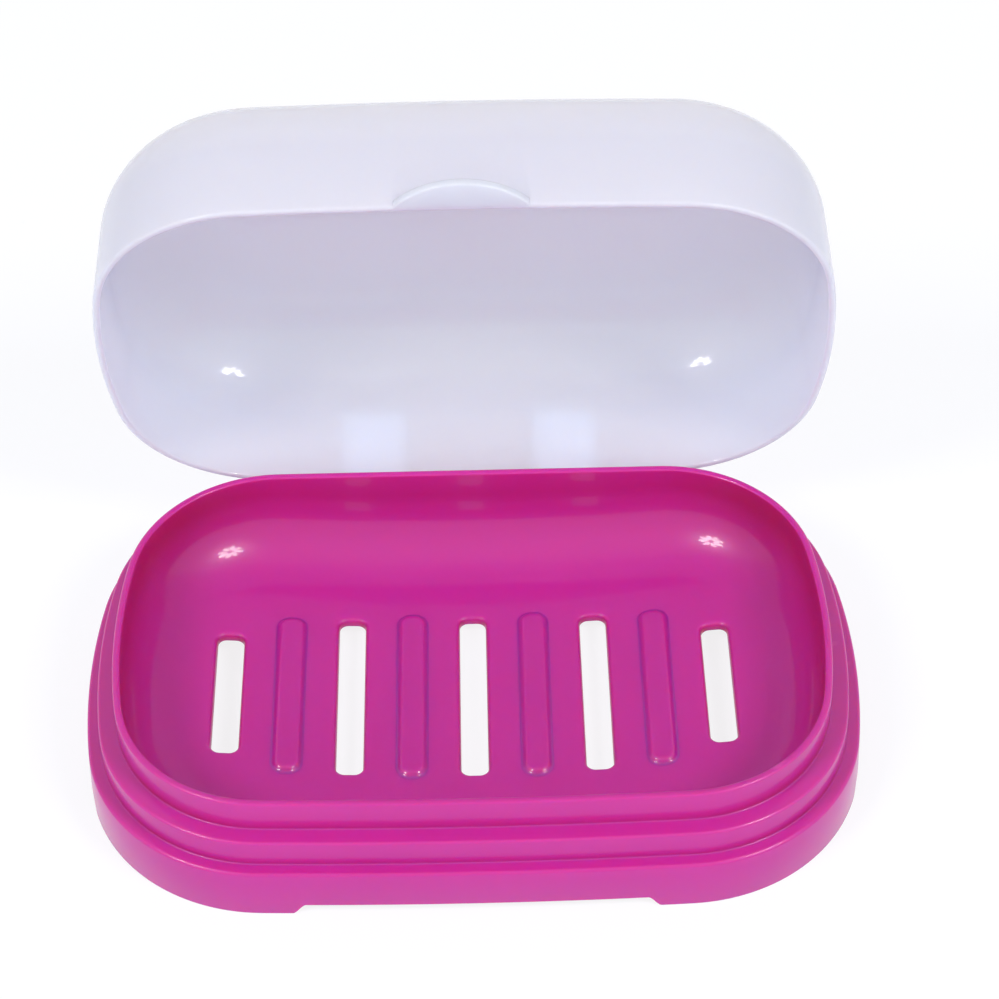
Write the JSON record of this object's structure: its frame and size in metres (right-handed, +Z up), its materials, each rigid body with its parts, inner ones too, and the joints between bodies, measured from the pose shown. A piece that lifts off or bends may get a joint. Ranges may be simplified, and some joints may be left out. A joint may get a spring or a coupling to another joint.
{
  "type": "travel soap box",
  "caption": "Oval-cornered travel soap box: slotted soap tray on a stepped, footed base, with a deep domed lid hinged at the back and a half-moon thumb lip at the front.",
  "frame": {"origin": "centre of the base's underside, in the plane that its four feet stand on", "axes": "+X along the box to the right, +Y from the front to the hinge side, +Z up; the lid is at its open stop"},
  "size_m": [0.1158, 0.0987, 0.0863],
  "materials": {
    "base_plastic": "opaque glossy moulded polypropylene",
    "lid_plastic": "milky, slightly see-through moulded polypropylene with a soft gloss",
    "pin_steel": "drawn stainless wire"
  },
  "bodies": {
    "base_body": {"base": "base_plastic", "hinge_pin_left": "pin_steel", "hinge_pin_right": "pin_steel"},
    "lid_body": {"lid": "lid_plastic"}
  },
  "joints": [
    {"name": "lid_hinge", "type": "hinge", "parent": "base_body", "child": "lid_body", "pos_m": [0, 0.0362, 0.0119], "axis": [1, 0, 0], "range_deg": [0, 76]}
  ]
}
